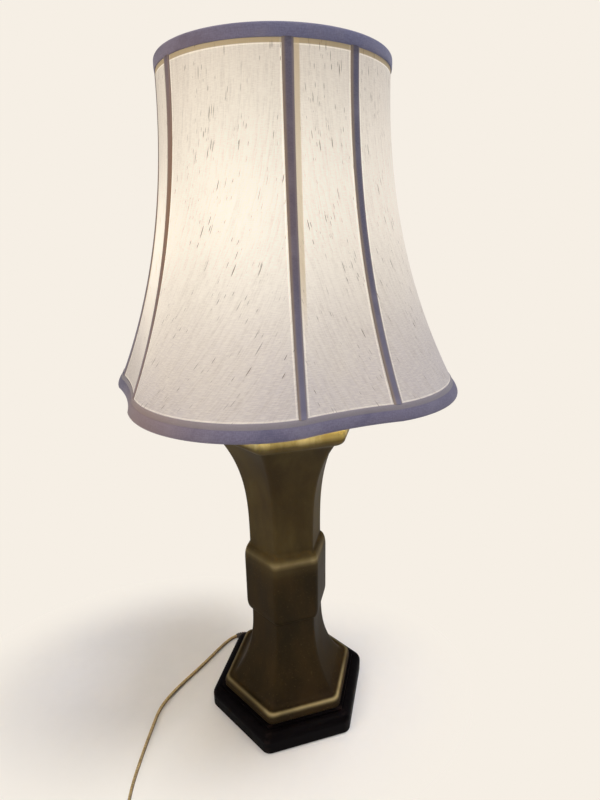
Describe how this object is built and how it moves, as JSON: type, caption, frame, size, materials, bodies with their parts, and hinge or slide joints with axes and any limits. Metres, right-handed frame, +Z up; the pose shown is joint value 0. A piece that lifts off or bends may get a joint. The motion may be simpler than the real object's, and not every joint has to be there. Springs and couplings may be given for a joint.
{
  "type": "table lamp",
  "caption": "Table lamp with a flared hexagonal ceramic column on a wooden plinth, and a scalloped bell shade held on a wire harp.",
  "frame": {"origin": "middle of the felt's underside, on the lamp's axis", "axes": "+Z up along the lamp's axis; -Y is the side with the switch, square to a flat of the hexagon; +X to the right seen from there"},
  "size_m": [0.3718, 0.3923, 0.7157],
  "materials": {
    "dark_wood": "ebonised hardwood, satin lacquer",
    "felt": "dark green felt",
    "glaze": "olive-brown satin glaze, worn paler along the edges",
    "brass": "satin brass, slightly aged",
    "steel": "zinc-plated steel",
    "frame_wire": "cream enamelled wire",
    "silk": "cream slub silk on a stiff backing",
    "lining": "off-white lining cloth",
    "trim": "slate-blue bound trim",
    "insulating_card": "grey-brown insulating card",
    "moulding": "dark phenolic moulding",
    "thin_aluminium": "thin rolled aluminium",
    "dark_plastic": "dark brown moulded plastic",
    "frosted_glass": "frosted white glass",
    "flex": "gold-brown twin flex"
  },
  "bodies": {
    "base": {"plinth": "dark_wood", "base_felt": "felt", "ceramic_column": "glaze", "vase_cap": "brass", "neck": "brass", "lamp_pipe": "steel", "base_washer": "steel", "base_nut": "steel", "harp_saddle": "brass", "socket_cap": "brass", "socket_shell": "brass", "socket_sleeve": "insulating_card", "socket_body": "moulding", "screw_shell": "thin_aluminium", "centre_contact": "brass", "cord_bushing": "dark_plastic", "cord_inner": "flex", "cord_lead": "flex", "cord_coil": "flex", "cord_tail": "flex", "plug_body": "dark_plastic", "plug_blades": "brass"},
    "harp": {"harp_bow": "brass", "harp_stud": "brass"},
    "ferrule_left": {"harp_ferrule_left": "brass"},
    "ferrule_right": {"harp_ferrule_right": "brass"},
    "shade": {"shade_spider": "frame_wire", "shade_hub": "frame_wire", "shade_rib_wires": "frame_wire", "shade_bottom_wire": "frame_wire", "shade_lining": "lining", "shade_top_trim": "trim", "shade_bottom_trim": "trim", "shade_rib_tapes": "trim", "shade_panel_wide_1": "silk", "shade_panel_wide_2": "silk", "shade_panel_wide_3": "silk", "shade_panel_wide_4": "silk", "shade_panel_narrow_1": "silk", "shade_panel_narrow_2": "silk", "shade_panel_narrow_3": "silk", "shade_panel_narrow_4": "silk"},
    "finial": {"finial": "brass"},
    "bulb": {"bulb_glass": "frosted_glass", "bulb_base": "thin_aluminium"},
    "switch": {"switch_stem": "steel", "switch_knob": "dark_plastic"}
  },
  "joints": [
    {"name": "harp_lift", "type": "slide", "parent": "base", "child": "harp", "axis": [0, 0, 1], "range_m": [0, 0.2]},
    {"name": "ferrule_left_slide", "type": "slide", "parent": "harp", "child": "ferrule_left", "axis": [0, 0, 1], "range_m": [0, 0.012]},
    {"name": "ferrule_right_slide", "type": "slide", "parent": "harp", "child": "ferrule_right", "axis": [0, 0, 1], "range_m": [0, 0.012]},
    {"name": "shade_swivel", "type": "hinge", "parent": "harp", "child": "shade", "pos_m": [0, 0, 0.687], "axis": [0, 0, 1], "continuous": true},
    {"name": "finial_turn", "type": "hinge", "parent": "harp", "child": "finial", "pos_m": [0, 0, 0.69], "axis": [0, 0, 1], "continuous": true},
    {"name": "bulb_turn", "type": "hinge", "parent": "base", "child": "bulb", "pos_m": [0, 0, 0.45], "axis": [0, 0, 1], "continuous": true},
    {"name": "switch_turn", "type": "hinge", "parent": "base", "child": "switch", "pos_m": [0, -0.022, 0.4296], "axis": [0, -1, 0], "continuous": true}
  ]
}
